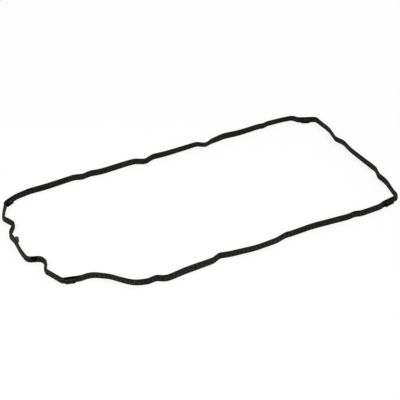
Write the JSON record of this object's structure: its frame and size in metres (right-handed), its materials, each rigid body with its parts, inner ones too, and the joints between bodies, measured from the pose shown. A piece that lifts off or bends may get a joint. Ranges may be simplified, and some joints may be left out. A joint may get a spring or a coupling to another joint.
{
  "type": "oil pan gasket",
  "caption": "Closed ring of moulded black rubber strip that seals an engine's oil pan, with stepped sides, gripping lugs near its corners and a small assembly tab.",
  "frame": {"origin": "bottom centre of the overall box, on the plane that the strip's lower edge and the lugs rest on", "axes": "+X along the long rails, away from the end that has the tab; +Y across the ring to the rail with no set-in corner; +Z from the pan's flange up to the engine block"},
  "size_m": [0.4796, 0.2524, 0.0077],
  "materials": {
    "rubber": "matte moulded black rubber with fine upright ribs on both walls"
  },
  "bodies": {
    "root": {"gasket": "rubber"}
  },
  "joints": []
}
